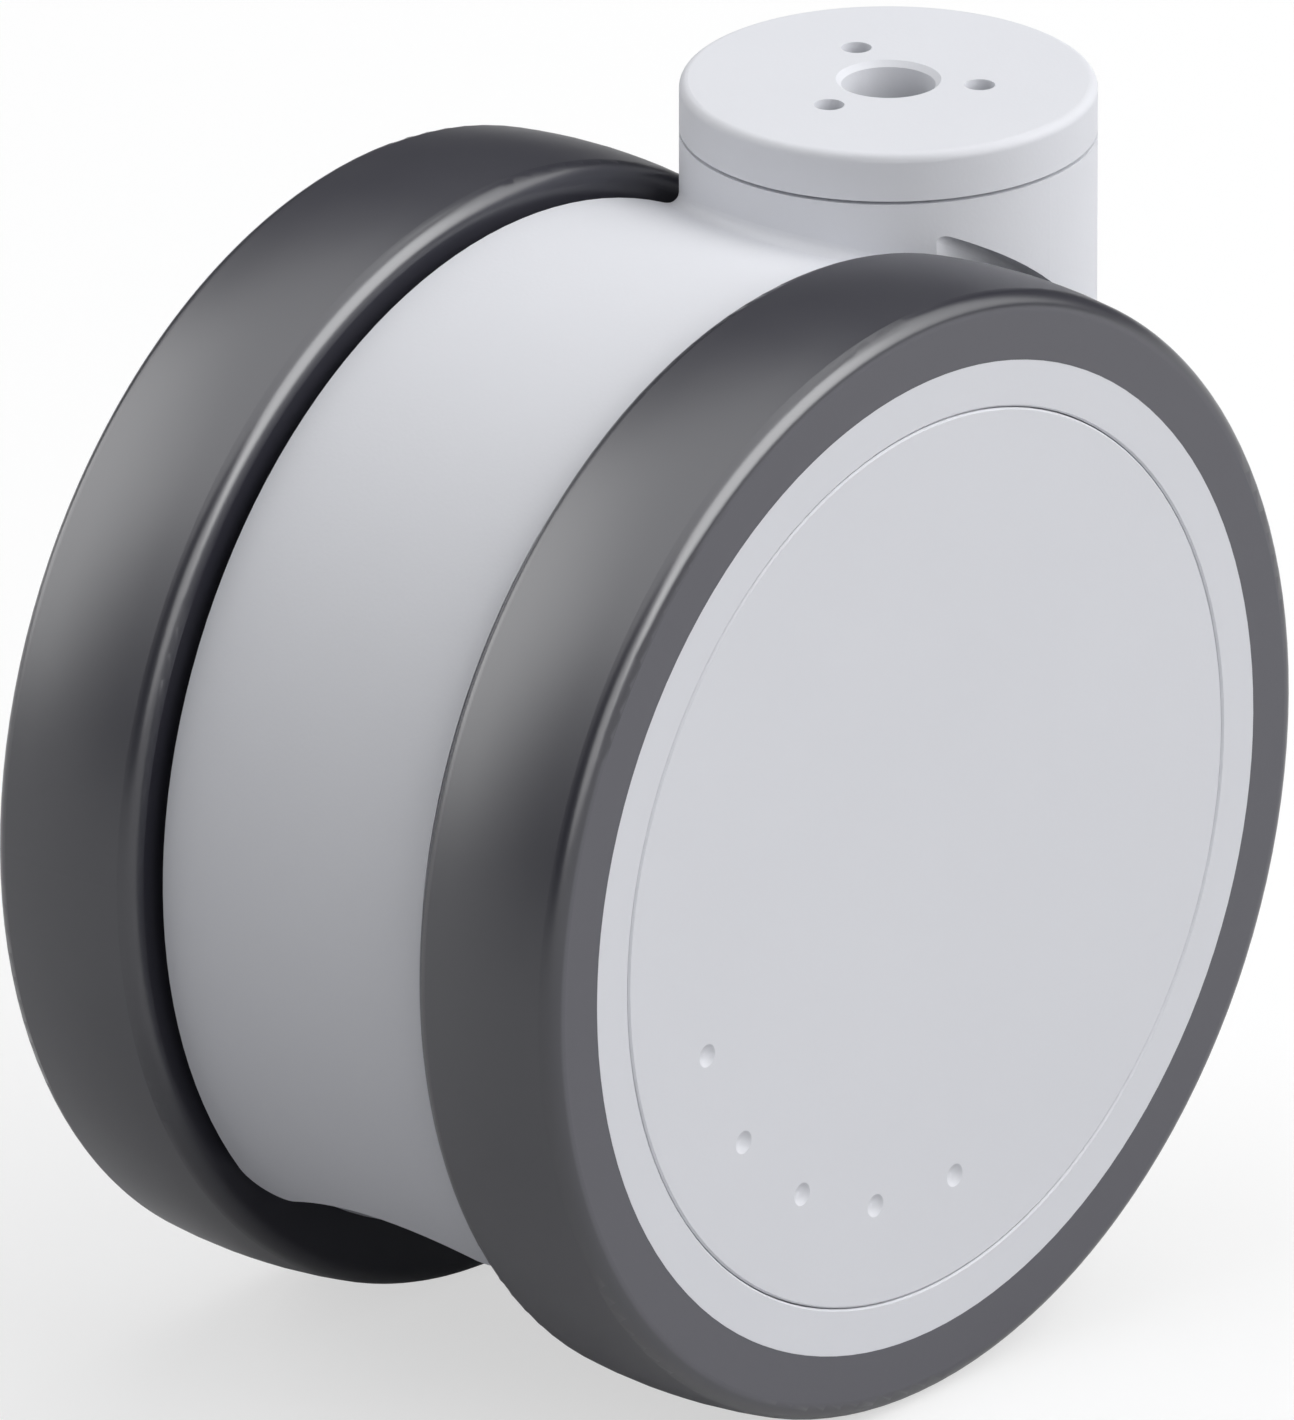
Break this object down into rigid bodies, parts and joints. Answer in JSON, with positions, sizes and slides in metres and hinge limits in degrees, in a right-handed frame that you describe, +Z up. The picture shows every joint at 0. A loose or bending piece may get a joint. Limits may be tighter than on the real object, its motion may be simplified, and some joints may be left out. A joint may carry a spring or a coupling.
{
  "type": "twin wheel swivel castor",
  "caption": "Hooded swivel castor: two plastic wheels with soft tyres on one axle, a rounded hood between them and a round neck with a central bolt hole.",
  "frame": {"origin": "centre of the mounting face, on the swivel axis", "axes": "+Z up out of the mounting face, Y along the axle, the axle lies on the -X side of the swivel axis"},
  "size_m": [0.1262, 0.0786, 0.131],
  "materials": {
    "housing_plastic": "fine moulded grain",
    "wheel_plastic": "smooth satin",
    "cover_plastic": "smooth satin",
    "tyre_rubber": "satin",
    "bush_plastic": "smooth",
    "cage_plastic": "smooth",
    "seal_rubber": "matt",
    "bearing_steel": "ground"
  },
  "bodies": {
    "fitting": {"top_cap": "housing_plastic", "swivel_sleeve": "bearing_steel", "swivel_bearing_inner_ring": "bearing_steel", "journal_tube": "bearing_steel", "sleeve_washer": "bearing_steel", "sleeve_circlip": "bearing_steel"},
    "housing": {"housing": "housing_plastic", "swivel_bearing_outer_ring": "bearing_steel", "swivel_bearing_balls": "bearing_steel", "swivel_bearing_cage": "cage_plastic", "swivel_bearing_seals": "seal_rubber", "lower_bush": "bush_plastic", "axle": "bearing_steel", "left_inner_washer": "bearing_steel", "left_outer_washer": "bearing_steel", "left_axle_circlip": "bearing_steel", "right_inner_washer": "bearing_steel", "right_outer_washer": "bearing_steel", "right_axle_circlip": "bearing_steel"},
    "left_wheel": {"left_tyre": "tyre_rubber", "left_rim": "wheel_plastic", "left_wheel_cover": "cover_plastic", "left_hub_race": "bearing_steel", "left_roller_cage": "cage_plastic", "left_wheel_rollers": "bearing_steel"},
    "right_wheel": {"right_tyre": "tyre_rubber", "right_rim": "wheel_plastic", "right_wheel_cover": "cover_plastic", "right_hub_race": "bearing_steel", "right_roller_cage": "cage_plastic", "right_wheel_rollers": "bearing_steel"}
  },
  "joints": [
    {"name": "swivel", "type": "hinge", "parent": "fitting", "child": "housing", "pos_m": [0, 0, 0], "axis": [0, 0, 1], "continuous": true},
    {"name": "left_wheel_spin", "type": "hinge", "parent": "housing", "child": "left_wheel", "pos_m": [-0.0405, 0, -0.0679], "axis": [0, 1, 0], "continuous": true},
    {"name": "right_wheel_spin", "type": "hinge", "parent": "housing", "child": "right_wheel", "pos_m": [-0.0405, 0, -0.0679], "axis": [0, 1, 0], "continuous": true}
  ]
}
